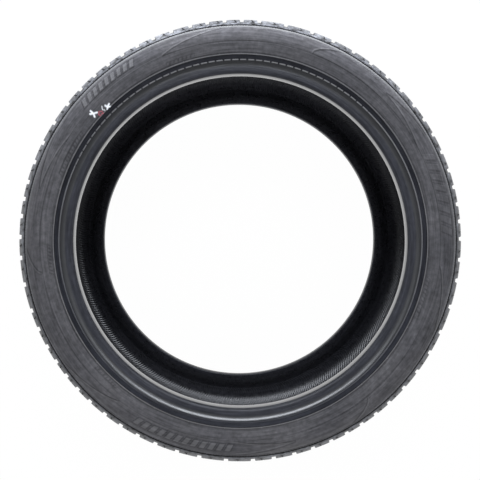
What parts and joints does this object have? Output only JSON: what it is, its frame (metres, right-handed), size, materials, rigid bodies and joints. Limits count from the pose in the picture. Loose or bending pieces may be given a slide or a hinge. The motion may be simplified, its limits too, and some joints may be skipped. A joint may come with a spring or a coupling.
{
  "type": "car tyre",
  "caption": "Low-profile car tyre in one piece, with a grooved tread, shoulder blocks of varied length, a rim protector and tapered bead seats.",
  "frame": {"origin": "centre of the tyre, on its axle line, halfway between the two sidewalls", "axes": "+Z along the axle line, out of the sidewall that the picture shows; the tyre lies on its other sidewall"},
  "size_m": [0.6785, 0.6786, 0.245],
  "materials": {
    "tyre_rubber": "matt moulded rubber, smoother and a little glossier at the beads"
  },
  "bodies": {
    "root": {"tyre": "tyre_rubber"}
  },
  "joints": []
}
